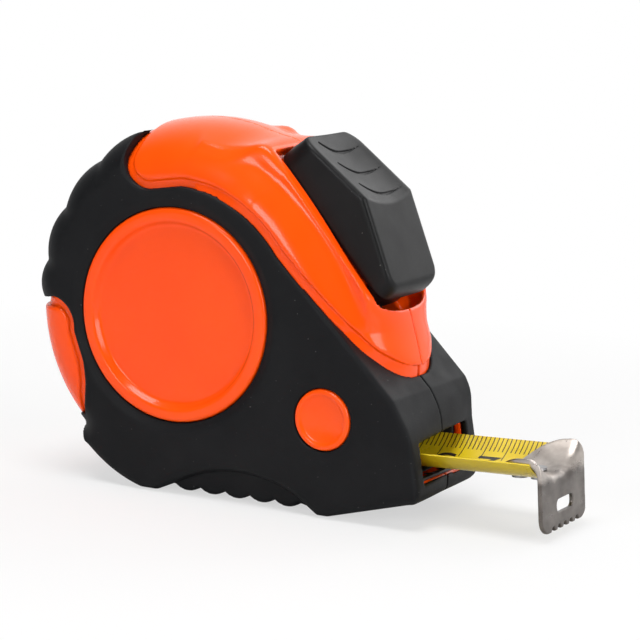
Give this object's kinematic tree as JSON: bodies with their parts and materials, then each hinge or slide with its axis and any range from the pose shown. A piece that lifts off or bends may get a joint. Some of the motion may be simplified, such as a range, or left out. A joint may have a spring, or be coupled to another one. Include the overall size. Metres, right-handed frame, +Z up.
{
  "type": "tape measure",
  "caption": "Pocket tape measure with a D-shaped rubber-clad case, sloping thumb lock, side brake button, belt clip and a curved steel blade with end hook.",
  "frame": {"origin": "on the ground under the middle of the rear foot, at the joint between the two case halves", "axes": "+X forward, the way the blade comes out; +Y to the belt-clip side; +Z up"},
  "size_m": [0.1223, 0.0432, 0.0807],
  "materials": {
    "orange_plastic": "satin moulded",
    "black_rubber": "matte moulded",
    "button_plastic": "satin moulded",
    "inner_plastic": "matte moulded",
    "blade_paint": "gloss lacquer",
    "steel": "zinc plated",
    "spring_steel": "blackened",
    "nickel_steel": "nickel plated, satin"
  },
  "bodies": {
    "case": {"right_shell": "orange_plastic", "left_shell": "orange_plastic", "right_grip": "black_rubber", "left_grip": "black_rubber", "center_post": "inner_plastic", "case_screws": "steel", "mouth_guide": "inner_plastic", "belt_clip": "spring_steel", "belt_clip_screw": "steel", "lock_click_spring": "spring_steel", "side_button_spring": "spring_steel"},
    "drum": {"drum": "inner_plastic", "drum_cover": "inner_plastic", "blade_coil": "blade_paint", "power_spring": "spring_steel"},
    "blade": {"blade": "blade_paint", "hook_rivets": "steel"},
    "hook": {"end_hook": "nickel_steel"},
    "lock": {"lock_button": "button_plastic", "lock_arm": "inner_plastic", "brake_shoe": "black_rubber"},
    "side_button": {"side_button": "orange_plastic", "side_brake_wedge": "inner_plastic"},
    "side_pad": {"side_brake_pad": "black_rubber"}
  },
  "joints": [
    {"name": "drum_spin", "type": "hinge", "parent": "case", "child": "drum", "pos_m": [0.006, 0, 0.039], "axis": [0, -1, 0], "range_deg": [-52.7, 101]},
    {"name": "blade_slide", "type": "slide", "parent": "case", "child": "blade", "axis": [0.9992, 0, 0.0391], "range_m": [-0.0236, 0.0451]},
    {"name": "hook_play", "type": "slide", "parent": "blade", "child": "hook", "axis": [0.9992, 0, 0.0391], "range_m": [-0.001, 0]},
    {"name": "lock_slide", "type": "slide", "parent": "case", "child": "lock", "axis": [0.6691, 0, -0.7431], "range_m": [0, 0.0032]},
    {"name": "side_button_press", "type": "slide", "parent": "case", "child": "side_button", "axis": [0, 1, 0], "range_m": [0, 0.0015], "stiffness_N_per_m": 500, "springref_m": -0.001, "deforming": ["side_button_spring"]},
    {"name": "side_pad_drop", "type": "slide", "parent": "case", "child": "side_pad", "axis": [0, 0, -1], "range_m": [0, 0.00076]}
  ],
  "couplings": [
    {"joint": "blade_slide", "follows": "drum_spin", "m_per_rad": 0.0255},
    {"joint": "side_pad_drop", "follows": "side_button_press", "ratio": 0.5}
  ]
}
